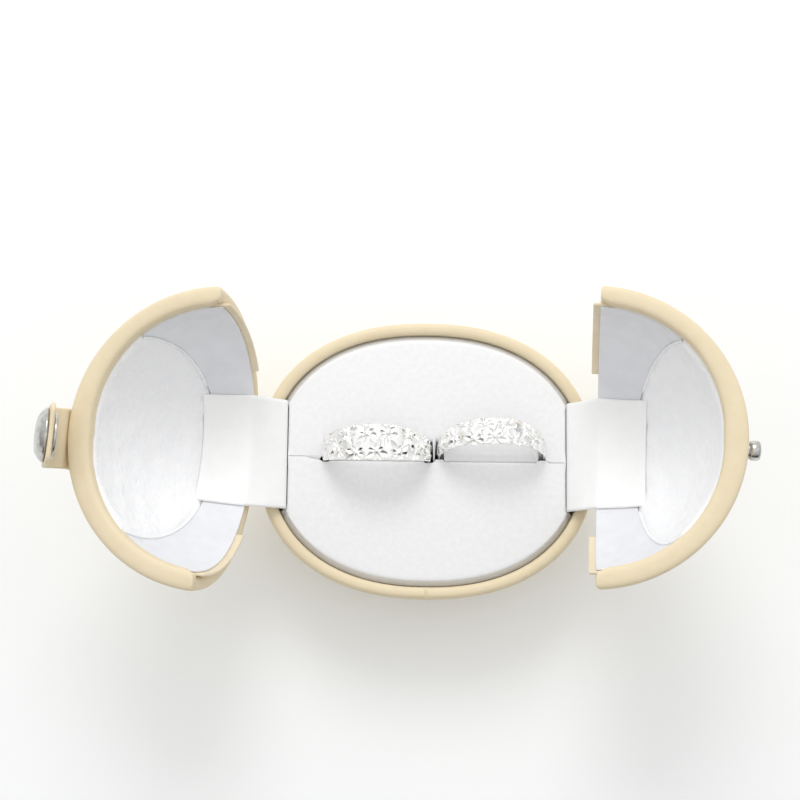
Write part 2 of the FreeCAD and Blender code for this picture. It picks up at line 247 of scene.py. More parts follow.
def softened(path, rounds):
    """A polyline along axis 0 with its corners rounded off."""
    for _ in range(rounds):
        middle = (path[:-1] + path[1:]) / 2
        path = np.concatenate([path[:1], (middle[:-1] + middle[1:]) / 2, path[-1:]])
    return path


def resampled(path, count):
    """Points spaced evenly along each column of a grid of paths."""
    out = np.empty((count,) + path.shape[1:])
    for k in range(path.shape[1]):
        line = path[:, k]
        run = np.concatenate([[0], np.cumsum(np.linalg.norm(np.diff(line, axis=0), axis=1))])
        for axis in range(3):
            out[:, k, axis] = np.interp(np.linspace(0, run[-1], count), run, line[:, axis])
    return out


def lathe(profile, count=72):
    """Points and faces of a closed profile, (radius, height) from axis to axis, turned about Z."""
    turn = np.arange(count) * 2 * math.pi / count
    points = [[r * math.cos(t), r * math.sin(t), h] for r, h in profile for t in turn]
    return np.array(points), tube_faces(len(profile), count)


def arc(centre, radii, start, end, steps):
    """Points of a profile on an arc, angles in degrees."""
    angles = np.radians(np.linspace(start, end, steps + 1))
    return [(centre[0] + radii[0] * math.cos(t), centre[1] + radii[1] * math.sin(t)) for t in angles]


# ---------------------------------------------------------------- materials

FAINT, STRONG = 0.3, 0.7


def srgb(red, green, blue):
    def linear(c):
        c /= 255
        return c / 12.92 if c <= 0.04045 else ((c + 0.055) / 1.055) ** 2.4
    return (linear(red), linear(green), linear(blue), 1.0)


class Finish:
    """A material with a Principled shader, built up from noise, waves and bumps."""

    def __init__(self, name, **settings):
        self.made = bpy.data.materials.new(name)
        self.made.use_nodes = True
        self.tree = self.made.node_tree
        self.shader = self.tree.nodes["Principled BSDF"]
        self.place = self.node("ShaderNodeTexCoord").outputs["Object"]
        self.height = None
        for key, value in settings.items():
            self.shader.inputs[key.replace("_", " ")].default_value = value

    def node(self, kind):
        return self.tree.nodes.new(kind)

    def link(self, a, b):
        self.tree.links.new(a, b)

    def stretched(self, x, y, z):
        """Coordinates scaled along each axis."""
        mapping = self.node("ShaderNodeMapping")
        mapping.inputs["Scale"].default_value = (x, y, z)
        self.link(self.place, mapping.inputs["Vector"])
        return mapping.outputs["Vector"]

    def noise(self, size, detail=2.0, rough=0.5, where=None):
        """Noise with features of about that size in millimetres."""
        made = self.node("ShaderNodeTexNoise")
        made.inputs["Scale"].default_value = 1 / (size * MM)
        made.inputs["Detail"].default_value = detail
        made.inputs["Roughness"].default_value = rough
        self.link(where or self.place, made.inputs["Vector"])
        return made.outputs["Fac"]

    def cells(self, size):
        made = self.node("ShaderNodeTexVoronoi")
        made.feature = "SMOOTH_F1"
        made.inputs["Scale"].default_value = 1 / (size * MM)
        self.link(self.place, made.inputs["Vector"])
        return made.outputs["Distance"]

    def threads(self, pitch, direction):
        made = self.node("ShaderNodeTexWave")
        made.bands_direction = direction
        made.inputs["Scale"].default_value = 2 * math.pi / 20 / (pitch * MM)
        made.inputs["Distortion"].default_value = 0.6
        made.inputs["Detail"].default_value = 1.0
        self.link(self.place, made.inputs["Vector"])
        return made.outputs["Fac"]

    def combined(self, operation, a, b):
        made = self.node("ShaderNodeMath")
        made.operation = operation
        self.link(a, made.inputs[0])
        self.link(b, made.inputs[1])
        return made.outputs[0]

    def colour(self, source, low, high):
        made = self.node("ShaderNodeValToRGB")
        first, last = made.color_ramp.elements
        first.position, first.color = FAINT, srgb(*low)
        last.position, last.color = STRONG, srgb(*high)
        self.link(source, made.inputs["Fac"])
        self.link(made.outputs["Color"], self.shader.inputs["Base Color"])

    def rough(self, source, low, high):
        made = self.node("ShaderNodeMapRange")
        made.inputs["From Min"].default_value = FAINT
        made.inputs["From Max"].default_value = STRONG
        made.inputs["To Min"].default_value = low
        made.inputs["To Max"].default_value = high
        self.link(source, made.inputs["Value"])
        self.link(made.outputs["Result"], self.shader.inputs["Roughness"])

    def bump(self, source, depth, strength=1.0):
        """Adds relief of about that depth in millimetres."""
        made = self.node("ShaderNodeBump")
        made.inputs["Distance"].default_value = depth * MM
        made.inputs["Strength"].default_value = strength
        self.link(source, made.inputs["Height"])
        if self.height:
            self.link(self.height, made.inputs["Normal"])
        self.height = made.outputs["Normal"]
        self.link(self.height, self.shader.inputs["Normal"])


def leatherette():
    f = Finish("cream_leatherette", Roughness=0.55, Specular_IOR_Level=0.35)
    f.colour(f.noise(2.5, 4.0), (231, 215, 182), (234, 219, 187))
    f.bump(f.cells(0.55), 0.05, 0.55)
    f.bump(f.noise(0.16, 3.0), 0.02, 0.5)
    f.rough(f.noise(1.4, 3.0), 0.45, 0.62)
    return f.made


def lip_leather():
    f = Finish("leatherette_edge_painted_light", Roughness=0.6, Specular_IOR_Level=0.3)
    # Same cream leatherette as the case, made a little lighter: painted light on the lids' lips, not a
    # different dye.
    f.colour(f.noise(2.0, 4.0), (232, 217, 188), (238, 224, 197))
    f.bump(f.cells(0.5), 0.05, 0.6)
    f.bump(f.noise(0.15, 3.0), 0.02, 0.5)
    return f.made


def satin(name="white_satin_painted_shade", crease=1.0, low=(229, 230, 234), high=(235, 236, 240)):
    f = Finish(name, Roughness=0.34, Specular_IOR_Level=0.7, Sheen_Weight=0.2, Sheen_Roughness=0.35)
    # The default colours are a shade darker than the pad's copy of the same satin: painted shade on the
    # side linings.
    f.colour(f.noise(3.0, 3.0), low, high)
    f.bump(f.noise(1.7, 4.0, 0.62, f.stretched(1.0, 0.55, 1.0)), 0.16 * crease, 0.45)
    f.bump(f.noise(0.6, 3.0, 0.6), 0.05 * crease, 0.5)
    f.bump(f.combined("MULTIPLY", f.threads(0.16, "X"), f.threads(0.16, "Y")), 0.012, 0.5)
    f.rough(f.noise(1.1, 3.0), 0.3, 0.46)
    return f.made


def ribbon_cloth():
    f = Finish("white_ribbon_cloth", Roughness=0.72, Specular_IOR_Level=0.3, Sheen_Weight=0.3,
               Sheen_Roughness=0.5)
    f.colour(f.noise(2.0, 4.0), (251, 251, 250), (254, 254, 254))
    f.bump(f.combined("ADD", f.threads(0.3, "X"), f.threads(0.24, "Y")), 0.02, 0.55)
    f.bump(f.noise(4.0, 2.0), 0.06, 0.3)
    return f.made


def velvet():
    f = Finish("white_velvet", Roughness=0.95, Specular_IOR_Level=0.12, Sheen_Weight=0.7,
               Sheen_Roughness=0.42)
    f.colour(f.noise(0.9, 4.0), (241, 241, 242), (246, 246, 247))
    f.bump(f.noise(0.18, 3.0, 0.65), 0.05, 0.6)
    return f.made


def nickel():
    f = Finish("polished_nickel", Metallic=1.0, Roughness=0.2)
    f.colour(f.noise(1.2, 3.0), (178, 176, 172), (214, 213, 210))
    f.rough(f.noise(0.4, 4.0), 0.12, 0.3)
    f.bump(f.noise(0.25, 2.0, 0.6, f.stretched(1.0, 0.15, 1.0)), 0.006, 0.4)
    return f.made


def silver():
    f = Finish("bright_cut_silver", Metallic=1.0, Roughness=0.12)
    f.colour(f.noise(1.0, 3.0), (250, 250, 249), (254, 254, 252))
    f.rough(f.noise(0.35, 4.0), 0.08, 0.16)
    f.bump(f.noise(0.2, 2.0), 0.004, 0.3)
    return f.made


def felt():
    f = Finish("foot_felt", Roughness=0.98, Specular_IOR_Level=0.1, Sheen_Weight=0.3)
    f.colour(f.noise(0.9, 5.0), (196, 182, 152), (216, 203, 175))
    f.bump(f.noise(0.22, 4.0, 0.7), 0.12, 0.8)
    return f.made


def moulded_plastic():
    f = Finish("moulded_shell_plastic", Roughness=0.5, Specular_IOR_Level=0.4)
    f.colour(f.noise(4.0, 3.0), (203, 190, 160), (216, 204, 176))
    f.bump(f.noise(0.3, 3.0), 0.02, 0.4)
    return f.made


def tray_board():
    f = Finish("tray_board", Roughness=0.9, Specular_IOR_Level=0.2)
    f.colour(f.noise(1.5, 5.0), (190, 184, 172), (214, 209, 198))
    f.bump(f.noise(0.4, 4.0), 0.05, 0.6)
    return f.made


def floor_finish():
    f = Finish("pale_floor", Roughness=0.85, Specular_IOR_Level=0.15)
    f.colour(f.noise(60.0, 2.0), (252, 254, 254), (254, 255, 255))
    f.bump(f.noise(0.8, 3.0), 0.02, 0.2)
    return f.made


LEATHERETTE = leatherette()
LIP_LEATHER = lip_leather()
SATIN = satin()
# A brighter copy of the same satin for the dome pads and their welts: painted light, since the pads sit in
# shade inside the lids.
PAD_SATIN = satin("wrinkled_satin_painted_light", 5.5, (250, 251, 253), (254, 254, 255))
RIBBON = ribbon_cloth()
VELVET = velvet()
NICKEL = nickel()
SILVER = silver()


# ---------------------------------------------------------------- base

def rim_seam(theta):
    """How deep the skin's butt seam is at an angle about the vertical, deepest at the front centre."""
    arc_mm = (theta + math.pi / 2) * HALF_WIDTH
    return np.exp(-(arc_mm / 0.22) ** 2)


def base_ring(inset, z, theta):
    """Horizontal section of the body at height z."""
    direction = np.stack([np.cos(theta), np.sin(theta), np.zeros_like(theta)], -1)
    s = reach(np.array([0, 0, z]), direction, inset)
    return direction * s[:, None] + np.array([0, 0, z])


def base_skin():
    """Leatherette bowl: flat bottom, outside, rolled rim, and the side turned in under it."""
    round_body = np.linspace(-math.pi, math.pi, 300, endpoint=False)
    by_seam = -math.pi / 2 + np.linspace(-0.032, 0.032, 21)
    theta = np.sort(np.concatenate([round_body, by_seam]))
    rings = []
    for share in (0.02, 0.5, 0.93):
        rings.append(base_ring(0, FOOT_THICK, theta) * [share, share, 1])
    rings.append(base_ring(0.35, FOOT_THICK, theta))
    for z in np.concatenate([[1.08, 1.3, 1.8], np.linspace(2.6, 20.4, 30)]):
        rings.append(base_ring(0, z, theta))
    for w in np.linspace(0, 1, 19):
        drop = 1.15 - 0.43 * w
        z = RIM_TOP - drop * (1 - (1 - abs(2 * w - 1) ** 2.4) ** 0.6)
        ring = base_ring(BASE_WALL * w, z, theta)
        ring[:, 2] -= 0.32 * rim_seam(theta) * (1 - abs(2 * w - 1) ** 3)
        rings.append(ring)
    for z in (RIM_TOP - 0.74, RIM_TOP - 1.2, 16.0, 9.0, 3.0):
        rings.append(base_ring(LEATHER, z, theta))
    floor = base_ring(LEATHER, FOOT_THICK + LEATHER, theta)
    rings += [floor, floor * [0.02, 0.02, 1]]
    count = len(theta)
    last = (len(rings) - 1) * count
    faces = tube_faces(len(rings), count) + [list(range(count)), list(range(last, last + count))]
    piece = add_mesh("base_skin", np.concatenate(rings), faces, LEATHERETTE)
    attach(piece, "base")
    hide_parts("base_cover")


# ---------------------------------------------------------------- lids

def lid_case_place(w, margin, u, v):
    """Skin and wall of a closed lid, u from the front over the crown to the back, v from the meeting
    edge to the hinge end. Along the meeting edge the wall is thicker inside, less so at the corners."""
    height = LID_GAP + margin + RIM - AXIS_Z
    x0 = LID_GAP + margin
    outer = x0 + (end_at(height, 0.0) - x0) * v
    phi0 = np.arcsin(np.clip(height / np.maximum(radius_at(outer, 0.0), 1e-9), -1, 1))
    over = radius_at(outer, 0.0) * np.sin(phi0 + u * (math.pi - 2 * phi0)) - height
    meeting = np.where(outer < MEETING_WIDTH + margin, 1.0, 0.0)
    front, back = np.clip((0.5 - u) / 0.25, 0, 1), np.clip((u - 0.5) / 0.25, 0, 1)
    full = MEETING_WALL - 0.45 * front - 0.85 * back
    wall = LID_WALL + meeting * (full - 0.45 * (1 - np.clip((over - 0.25) / 1.1, 0, 1)))
    inset = w * wall
    x = x0 + (end_at(height, inset) - x0) * v
    x = np.where(meeting > 0, outer, x)
    rho = radius_at(x, inset)
    phi0 = np.arcsin(np.clip(height / np.maximum(rho, 1e-9), -1, 1))
    phi = phi0 + u * (math.pi - 2 * phi0)
    return np.stack([x, -rho * np.cos(phi), AXIS_Z + rho * np.sin(phi)], -1)


def lid_case(side):
    wave = np.cos(np.linspace(0, math.pi, 121))
    u = 0.5 - 0.5 * wave * (0.75 + 0.25 * np.abs(wave))
    near = np.array([0, 0.5, 1.0, 1.5, 1.92, 2.0]) / 31.0
    far = np.sin(np.linspace(math.asin(2.4 / 31.0), math.pi / 2, 56))
    v = np.concatenate([near, far])
    depths = np.linspace(0, 1, 21)[1:-1]
    points, faces = panel(lid_case_place, u, v, depths, round_edge, 0.7)
    word = WORDS[side]
    piece = add_mesh("lid_case_" + word, on_side(points, side), faces, LEATHERETTE)
    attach(piece, "lid_" + word)
    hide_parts("lid_cover_" + word, "lid_shell_" + word, "meeting_rim_" + word)


def lip(side, edge):
    """Thin lip that nests inside the base's rim. Edge 1 is the back, -1 the front."""
    start, end = 2.28, 23.0

    def place(w, margin, u, v):
        x = start + margin + (end - start - 2 * margin) * u
        z = RIM - 1.1 + margin + (3.7 - 2 * margin) * v
        rho = radius_at(x, 2.55 + 0.6 * w)
        y = np.sqrt(np.maximum(rho ** 2 - (z - AXIS_Z) ** 2, 0))
        return np.stack([x, edge * y, z], -1)
    u, v = np.linspace(0, 1, 61), np.linspace(0, 1, 9)
    points, faces = panel(place, u, v, np.linspace(0, 1, 9)[1:-1], round_edge, 0.28)
    word = ("front_" if edge < 0 else "back_") + WORDS[side]
    piece = add_mesh("lip_" + word, on_side(points, side), faces, LIP_LEATHER)
    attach(piece, "lid_" + WORDS[side])
    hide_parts("lid_lip_" + word)


def seam_level(x, above=0.0):
    """Height of the seam between the side lining and the pad, on the closed lid."""
    return RIM + SEAM_HEIGHT + above - SEAM_SLOPE * x


def side_lining_place(w, margin, u, v):
    """Band from the front round the hinge end to the back, between the lid's edge and the seam."""
    x_start = LINING_START + margin
    low = RIM + LID_GAP + margin

    def level(x):
        return low + v * (seam_level(x) - margin - low)

    thin = np.clip((RIM + 3.0 - level(x_start)) / 0.4, 0, 1)
    inset = 3.5 - w * (1.0 - 0.7 * thin)
    rho = radius_at(np.full_like(u, x_start), inset)
    y_end = np.sqrt(rho ** 2 - (level(x_start) - AXIS_Z) ** 2)
    theta = np.arctan2(y_end, x_start) * (2 * u - 1)
    near, far = np.zeros_like(theta), np.full_like(theta, 60.0)
    for _ in range(40):
        s = (near + far) / 2
        x = s * np.cos(theta)
        over = np.hypot(s * np.sin(theta), level(x) - AXIS_Z)
        form = body_form(x, over, inset)
        near, far = np.where(form < 1, s, near), np.where(form < 1, far, s)
    x = near * np.cos(theta)
    return np.stack([x, near * np.sin(theta), level(x)], -1)


def side_lining(side):
    u, v = np.linspace(0, 1, 121), np.linspace(0, 1, 33)
    points, faces = panel(side_lining_place, u, v, np.linspace(0, 1, 8)[1:-1], round_edge, 0.12)
    piece = add_mesh("satin_lining_" + WORDS[side], on_side(points, side), faces, SATIN)
    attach(piece, "lid_" + WORDS[side])
    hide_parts("side_lining_" + WORDS[side])


def pad_swell(points):
    """0 at the pad's edge and under the ribbon's end, to 1 where it is full, over a rolled edge."""
    from_meeting = points[..., 0] - LINING_START
    from_seam = (points[..., 2] - seam_level(points[..., 0], PAD_ABOVE_SEAM)) / SEAM_SLANT
    beside = np.abs(points[..., 1] - RIBBON_Y) - RIBBON_WIDTH / 2 + 0.35
    from_ribbon = np.maximum(beside, points[..., 2] - RIM - RIBBON_END)
    t = np.clip(np.minimum(from_meeting / 1.3, np.minimum(from_seam, from_ribbon) / 0.9), 0, 1)
    return np.sqrt(1 - (1 - t) ** 2)


def dome_pad_place(w, margin, u, v):
    """Quilted pad at the top of the lid, u from front to back, v from the meeting edge to the seam."""
    x0 = LINING_START + margin
    origin = np.array([x0, 0, seam_level(x0, PAD_ABOVE_SEAM) + SEAM_SLANT * margin])
    psi = v * (math.pi / 2 + math.atan(SEAM_SLOPE))
    theta = u * math.pi
    direction = np.stack([np.sin(psi) * np.sin(theta), -np.cos(theta), np.cos(psi) * np.sin(theta)], -1)
    outer = origin + direction * reach(origin, direction, np.full_like(u, PAD_INSET))[..., None]
    inset = PAD_INSET + (1 - w) * (0.72 + 0.82 * pad_swell(outer))
    return origin + direction * reach(origin, direction, inset)[..., None]


def wrinkled(points, side, depth):
    """Shallow creases in cloth drawn over a pad."""
    out = points.copy()
    for k, p in enumerate(points):
        q = Vector((p[0] * 0.16 + 7 * side, p[1] * 0.13, p[2] * 0.16))
        ridge = 1 - abs(noise.noise(q)) * 2.2
        fine = noise.noise(Vector(p) * 0.45 + Vector((3, 9, 5))) + 0.6 * noise.noise(Vector(p) * 0.95)
        inward = np.array(Vector((-p[0] * 0.6, -p[1], AXIS_Z - p[2])).normalized())
        out[k] = p + inward * depth * (ridge * 0.6 + fine * 0.4)
    return out


def welt(edge):
    """Thin corded edge along the seam, in front of the ribbon (-1) or behind it (1)."""
    u = np.linspace(0.004, 0.5, 140)[None]
    line = side_lining_place(-0.03, 0.0, u if edge < 0 else 1 - u, np.ones_like(u))[0]
    line = line[np.abs(line[:, 1] - RIBBON_Y) > RIBBON_WIDTH / 2 + 0.3]
    along = np.gradient(line, axis=0)
    along /= np.linalg.norm(along, axis=1, keepdims=True)
    inward = np.array([0, 0, AXIS_Z]) - line
    inward -= along * (inward * along).sum(1, keepdims=True)
    inward /= np.linalg.norm(inward, axis=1, keepdims=True)
    beside = np.cross(along, inward)
    sides, radius = 10, 0.26
    turn = np.arange(sides) * math.pi / 5
    ends = np.clip(np.arange(len(line)) / 3, 0.15, 1) * np.clip(np.arange(len(line))[::-1] / 3, 0.15, 1)
    offset = np.cos(turn)[None, :, None] * inward[:, None] + np.sin(turn)[None, :, None] * beside[:, None]
    tube = line[:, None] + offset * (radius * ends)[:, None, None]
    last = (len(line) - 1) * sides
    caps = [list(range(sides)), list(range(last, last + sides))]
    return tube.reshape(-1, 3), tube_faces(len(line), sides) + caps


def dome_pad(side):
    u = eased(151)
    by_meeting, by_seam = [0, 0.01, 0.025, 0.05, 0.08], [0.935, 0.955, 0.97, 0.985, 0.995, 1]
    v = np.concatenate([by_meeting, np.linspace(0.11, 0.92, 84), by_seam])
    points, faces = panel(dome_pad_place, u, v, np.linspace(0, 1, 8)[1:-1], round_edge, 0.16)
    outer = len(u) * len(v)
    points[:outer] = wrinkled(points[:outer], side, 0.28)
    for edge in (-1, 1):
        cord, cord_faces = welt(edge)
        faces += [[k + len(points) for k in face] for face in cord_faces]
        points = np.concatenate([points, cord])
    word = WORDS[side]
    piece = add_mesh("satin_dome_pad_" + word, on_side(points, side), faces, PAD_SATIN)
    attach(piece, "lid_" + word)
    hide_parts("dome_pad_" + word)


# ---------------------------------------------------------------- ribbons and hinge tapes

def on_lid(y, z, inset, side):
    """Points of the closed lid's inner or outer form at y and z, swung open."""
    rho = np.hypot(y, z - AXIS_Z)
    return opened(np.stack([side * end_at(rho, inset), y, z], -1), side)


def hinge_ribbon(side):
    """Ribbon from beside the cushion, over the rims and up into the lid: one strip of cloth."""
    y = RIBBON_Y + RIBBON_WIDTH * (np.linspace(0, 1, 41) - 0.5)
    rows = []
    for t in np.linspace(0, 1, 14):
        z = RIM - RIBBON_TAIL + (RIBBON_TAIL + 0.2) * t
        rows.append(np.stack([np.full_like(y, side * RIBBON_TAIL_X), y, np.full_like(y, z)], -1))
    edge = on_lid(y, np.full_like(y, RIM + RIBBON_START), RIBBON_INSET, side)
    corner = rows[-1]
    rows += [corner + (edge - corner) * t for t in np.linspace(0, 1, 9)[1:-1]]
    for t in np.linspace(0, 1, 20):
        drawn_in = RIBBON_Y - 0.15 * t + (y - RIBBON_Y) * (1 - 0.05 * t)
        z = RIM + RIBBON_START + (RIBBON_END + 0.1 - RIBBON_START) * t
        rows.append(on_lid(drawn_in, np.full_like(y, z), RIBBON_INSET, side))
    path = resampled(softened(resampled(np.array(rows), 110), 2), 76)
    points, faces = thicken(path, RIBBON_THICK)
    word = WORDS[side]
    piece = add_mesh("ribbon_" + word, points, faces, RIBBON)
    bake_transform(piece)
    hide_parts("hinge_ribbon_" + word)


def hinge_tape(side):
    """Leatherette tape across the outside of the hinge."""
    y = np.linspace(-TAPE_WIDTH / 2, TAPE_WIDTH / 2, 33)
    rows = []
    for z in np.linspace(RIM - TAPE_REACH, RIM - 0.5, 14):
        x = side * end_at(np.hypot(y, z - AXIS_Z), TAPE_INSET)
        rows.append(np.stack([x, y, np.full_like(y, z)], -1))
    for z in np.linspace(RIM + 0.35, RIM + TAPE_REACH, 14):
        rows.append(on_lid(y, np.full_like(y, z), TAPE_INSET, side))
    path = resampled(softened(resampled(np.array(rows), 70), 3), 48)
    points, faces = thicken(path, TAPE_THICK)
    word = WORDS[side]
    piece = add_mesh("tape_" + word, points, faces, LEATHERETTE)
    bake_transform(piece)
    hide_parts("hinge_tape_" + word)


# ---------------------------------------------------------------- cushion

CUSHION_END = 25.98
PAD_TOP = RIM - 0.3
PAD_DEPTH = 8.0
RIM_SOFT = 0.7
POCKET_DEPTH = 2.6


def beside_ring(x, reach_out, reach_in):
    """Per ring, 1 where its band crosses the cushion's surface and 0 elsewhere."""
    out = {}
    for name, ring in RINGS.items():
        d = np.abs(x - ring.x)
        inner, outer = (d - reach_in + 0.25) / 0.25, (reach_out + 0.25 - d) / 0.25
        out[name] = np.clip(inner, 0, 1) * np.clip(outer, 0, 1)
    return out


def slot_open(x):
    """1 where the rings hold the slot open, falling to 0 at its ends where the foam closes."""
    return np.clip((x + 23.5) / 3, 0, 1) * np.clip((23.8 - x) / 2, 0, 1)


def slot_edge(x, half, depth):
    """y of a pad's edge along the slot, at a depth under the surface. It hugs the rings' bands, and
    deep down it leaves room for the whole ring."""
    skew = 0.75 * np.clip((-19.2 - x) / 4, 0, 1)
    y = skew + (-0.34 if half < 0 else -0.26 - 0.06 * slot_open(x))
    if depth > POCKET_DEPTH:
        near = {n: np.clip((RING_RADIUS + 0.5 - np.abs(x - r.x)) / 0.4, 0, 1) for n, r in RINGS.items()}
    else:
        near = beside_ring(x, RING_RADIUS + 0.1, RING_BORE + 0.15)
    for name, ring in RINGS.items():
        band_half = ring.side_width / 2 + 0.12
        wall = ring.y + half * band_half - depth * math.tan(math.radians(ring.lean)) * 0.9
        wall = np.maximum(wall, y) if half > 0 else wall
        y = y + (wall - y) * near[name]
    return y


def pad_columns():
    """x of a pad's columns, closer together where the rings' bands cross it."""
    clusters = [np.linspace(-CUSHION_END, CUSHION_END, 120)]
    for ring in RINGS.values():
        for s in (-1, 1):
            clusters.append(ring.x + s * np.linspace(8.3, 10.9, 27))
    x = np.unique(np.round(np.concatenate(clusters), 3))
    return x[np.abs(x) <= CUSHION_END]


def pad_section(half, x, v, slot_margin, rim_margin, depth, lift=0.0):
    """Grid of a pad's points at a depth, drawn in from the slot and the rim by the margins. Beside
    the ribbon its ends reach further, and its middle is lifted."""
    xs = x * (1 - rim_margin / CUSHION_END)
    inset = 3.2 if depth < 1.25 else 2.4
    z = PAD_TOP - depth
    y_slot = slot_edge(x, half, depth) + half * slot_margin
    rho = radius_at(xs, inset)
    y_rim = half * (np.sqrt(np.maximum(rho ** 2 - (z - AXIS_Z) ** 2, 0)) - rim_margin)
    grid_x = np.repeat(xs[:, None], len(v), 1)
    grid_y = y_slot[:, None] + (y_rim - y_slot)[:, None] * v[None]
    further = np.minimum(CUSHION_END + 1.4, end_at(np.hypot(grid_y, z - AXIS_Z), inset)) - CUSHION_END
    beyond_ribbon = np.clip((np.abs(grid_y - RIBBON_Y) - RIBBON_WIDTH / 2) / 0.4, 0, 1)
    near_end = np.clip((np.abs(grid_x) - 24.6) / 1.3, 0, 1)
    grid_x = grid_x + np.sign(grid_x) * np.maximum(further, 0) * beyond_ribbon * near_end
    along = 1 - (np.minimum(np.abs(grid_x), CUSHION_END) / CUSHION_END) ** 4
    crown = along * np.sin(math.pi * np.clip(v, 0, 1))[None] ** 0.6
    return np.stack([grid_x, grid_y, z + lift * crown], -1)


def pad_levels(half, x, v, soft_slot):
    """Sections of a pad from its rounded upper edge down its side. In the right ring's bore the
    back pad's edge is rounded further."""
    in_bore = np.clip((RING_BORE - 0.2 - np.abs(x - RINGS["right"].x)) / 0.8, 0, 1) * (half > 0)
    soften = soft_slot * (0.12 + 0.88 * slot_open(x))
    round_wide = soften + (2.3 - soft_slot) * in_bore
    round_deep = soften + (1.3 - soft_slot) * in_bore
    from_slot = np.clip(v / 0.2, 0, 1)[None, :, None]
    top = pad_section(half, x, v, round_wide, RIM_SOFT, 0.0, 0.22)
    levels = []
    for angle in np.radians(np.linspace(0, 90, 9))[1:]:
        inward, fall = 1 - math.sin(angle), 1 - math.cos(angle)
        by_rim = pad_section(half, x, v, inward * round_wide, RIM_SOFT * inward, fall * RIM_SOFT)
        by_slot = pad_section(half, x, v, inward * round_wide, RIM_SOFT * inward, fall * soft_slot)
        by_slot[:, :, 2] = PAD_TOP - fall * round_deep[:, None]
        levels.append(by_slot * (1 - from_slot) + by_rim * from_slot)
    flat = np.zeros_like(x)
    levels += [pad_section(half, x, v, flat, 0.0, depth) for depth in (1.4, 2.2, 2.55, 2.75, 5.0, 7.8)]
    return top, levels, pad_section(half, x, v, flat, 0.1, PAD_DEPTH)


def pad_half(half):
    """One foam half under velvet: half 1 is the back, -1 the front. Crowned, with soft edges."""
    x, v = pad_columns(), eased(41)
    top, levels, bottom = pad_levels(half, x, v, 0.3 if half < 0 else 0.7)
    shape = top.shape[:2]
    count = shape[0] * shape[1]
    way = border(*shape)
    index = [i * shape[1] + j for i, j in way]
    points = [top.reshape(-1, 3), bottom.reshape(-1, 3)]
    faces = grid_faces(*shape) + grid_faces(*shape, count, True)
    previous, start = index, 2 * count
    for level in levels:
        points.append(np.array([level[i, j] for i, j in way]))
        now = list(range(start, start + len(way)))
        faces += strip_faces(previous, now)
        previous, start = now, start + len(way)
    faces += strip_faces(previous, [count + k for k in index])
    word = "front" if half < 0 else "back"
    piece = add_mesh("velvet_pad_" + word, np.concatenate(points), faces, VELVET)
    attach(piece, "base")
    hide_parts("cushion_" + word)


# ---------------------------------------------------------------- rings

def star_cut(along, across, width):
    """Depth of the cuts on a band's face: eight-petal starbursts in two staggered rows, and nicks
    at its edges."""
    depth = np.zeros_like(along)
    pitch, petal_long, petal_wide = 4.04, 3.0, 0.55
    for row, offset in ((-1, 0.0), (1, 0.5)):
        centre_w = row * np.minimum(width * 0.26, 1.75)
        a = (along / pitch - offset + 0.5) % 1 - 0.5
        number = np.round(along / pitch - offset - a)
        da = a * pitch + 0.25 * np.sin(number * 5.3)
        dw = across - centre_w - 0.3 * np.sin(number * 3.7)
        r = np.hypot(da, dw)
        turn = np.arctan2(dw, da) + 0.4 * np.sin(number * 2.1 + row) + 0.2
        petal = np.floor((turn % (2 * math.pi)) / (math.pi / 4))
        angle = turn % (math.pi / 4) - math.pi / 8
        far = petal_long * (0.72 + 0.28 * np.sin(petal * 2.3 + number * 1.7 + row))
        t = np.clip((r - 0.16) / (far - 0.16), 0, 1)
        half = petal_wide * np.sin(math.pi * t ** 0.75) ** 0.8 + 1e-6
        cut = np.clip(1 - np.abs(r * np.sin(angle)) / half, 0, 1) * half * 0.8
        depth = np.maximum(depth, np.where(t > 0, cut, 0))
    from_edge = width / 2 - np.abs(across)
    nick = np.clip(1 - np.abs((along / 0.62) % 1 - 0.5) * 2.6, 0, 1)
    return np.maximum(depth, nick * np.clip(1 - from_edge / 0.5, 0, 1) * 0.12)


def band(name):
    """Star-cut silver band, widest at its crown and smooth inside."""
    ring = RINGS[name]
    turns, across_steps, inside_steps = 960, 77, 9
    angle = np.arange(turns) * 2 * math.pi / turns
    rise = (1 - np.cos(angle)) / 2
    upper = ring.crown_width + (ring.side_width - ring.crown_width) * (2 * rise) ** 0.85
    width = np.where(rise < 0.5, upper, ring.side_width - 0.6 * (2 * rise - 1))
    share = np.linspace(-1, 1, across_steps)
    outer_w = width[:, None] / 2 * share[None]
    cut = star_cut((angle * RING_RADIUS)[:, None] + 0 * outer_w, outer_w, width[:, None] + 0 * outer_w)
    outer_r = RING_RADIUS - 0.3 * np.abs(share[None]) ** 2.6 - cut
    inner_share = np.linspace(1, -1, inside_steps)
    inner_w = width[:, None] / 2 * 0.985 * inner_share[None]
    inner_r = RING_BORE + 0.8 * np.abs(inner_share[None]) ** 2.4 + 0 * inner_w
    w = np.concatenate([outer_w, inner_w], 1)
    r = np.concatenate([outer_r, inner_r], 1)
    points = np.stack([r * np.sin(angle)[:, None], w, r * np.cos(angle)[:, None]], -1)
    loop = across_steps + inside_steps
    faces = []
    for j in range(loop):
        a = [i * loop + j for i in range(turns)]
        b = [i * loop + (j + 1) % loop for i in range(turns)]
        faces += strip_faces(a, b)
    turn = np.array(Matrix.Rotation(-math.radians(ring.lean), 3, "X"))
    points = points.reshape(-1, 3) @ turn.T + np.array([ring.x, ring.y, RING_Z])
    piece = add_mesh("band_" + name, points, faces, SILVER)
    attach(piece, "band_" + name)
    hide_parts("ring_" + name)


# ---------------------------------------------------------------- snap fastener

